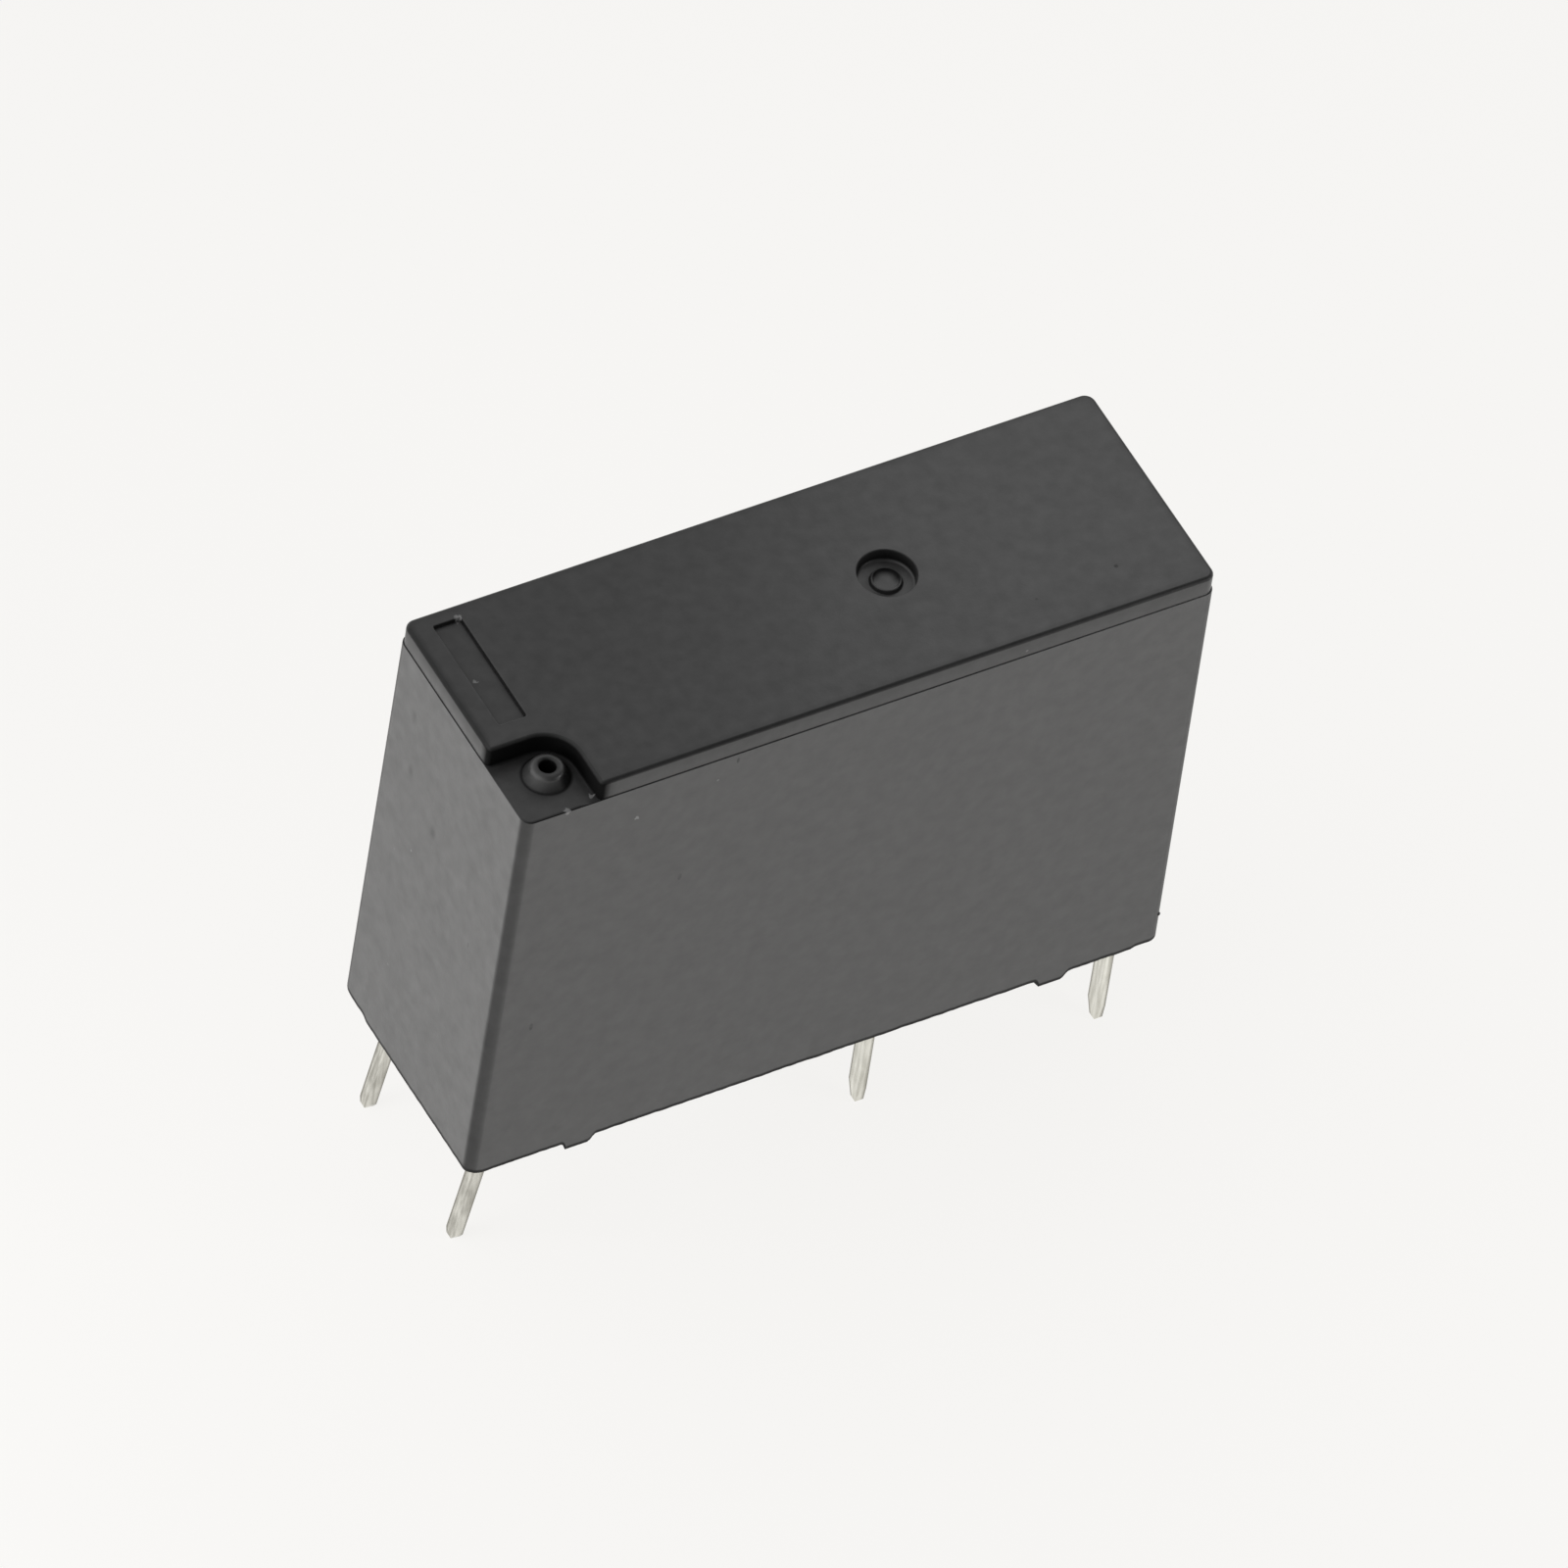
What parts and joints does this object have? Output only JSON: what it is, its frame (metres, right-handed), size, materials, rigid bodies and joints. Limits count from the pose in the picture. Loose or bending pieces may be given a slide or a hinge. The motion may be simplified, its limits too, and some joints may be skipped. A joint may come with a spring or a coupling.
{
  "type": "pcb power relay",
  "caption": "Slim upright PCB power relay: dark moulded case with a corner vent, bent coil pins and contact blades, with a rocking armature that lifts a normally-open leaf contact.",
  "frame": {"origin": "middle of the case's footprint, on the board plane that the standoff feet rest on", "axes": "+X along the case towards the contact end, -Y towards the side with both contact pins, +Z away from the board"},
  "size_m": [0.0205, 0.007, 0.0181],
  "materials": {
    "case_plastic": "fine-grained moulded thermoplastic, black, satin",
    "base_plastic": "moulded thermoplastic, black",
    "resin": "cast epoxy, glossy",
    "bobbin_plastic": "moulded thermoplastic, ivory",
    "copper": "enamelled copper wire",
    "tinned_pins": "tin-plated copper alloy, satin",
    "magnet_iron": "nickel-plated soft iron",
    "spring_bronze": "rolled phosphor bronze",
    "card_plastic": "moulded thermoplastic, white",
    "contact_silver": "silver alloy, dull polish"
  },
  "bodies": {
    "frame": {"case": "case_plastic", "base": "base_plastic", "sealing_resin": "resin", "bobbin": "bobbin_plastic", "coil_winding": "copper", "coil_lead_front": "copper", "coil_lead_rear": "copper", "coil_terminal_front": "tinned_pins", "coil_terminal_rear": "tinned_pins", "core": "magnet_iron", "yoke": "magnet_iron", "return_spring": "spring_bronze", "moving_terminal": "tinned_pins", "spring_rivets": "spring_bronze", "fixed_terminal": "tinned_pins", "fixed_contact": "contact_silver"},
    "armature": {"armature": "magnet_iron", "card": "card_plastic"},
    "contact_arm": {"moving_spring": "spring_bronze", "moving_contact": "contact_silver"}
  },
  "joints": [
    {"name": "armature_rock", "type": "hinge", "parent": "frame", "child": "armature", "pos_m": [-0.00065, 0, 0.01164], "axis": [0, -1, 0], "range_deg": [0, 3.6], "stiffness_Nm_per_rad": 0.0005, "springref_deg": -17.19},
    {"name": "contact_spring_flex", "type": "hinge", "parent": "frame", "child": "contact_arm", "pos_m": [0.00224, 0, 0.01077], "axis": [0, -1, 0], "range_deg": [0, 6.36]}
  ],
  "couplings": [
    {"joint": "contact_spring_flex", "follows": "armature_rock", "ratio": 1.7663}
  ]
}
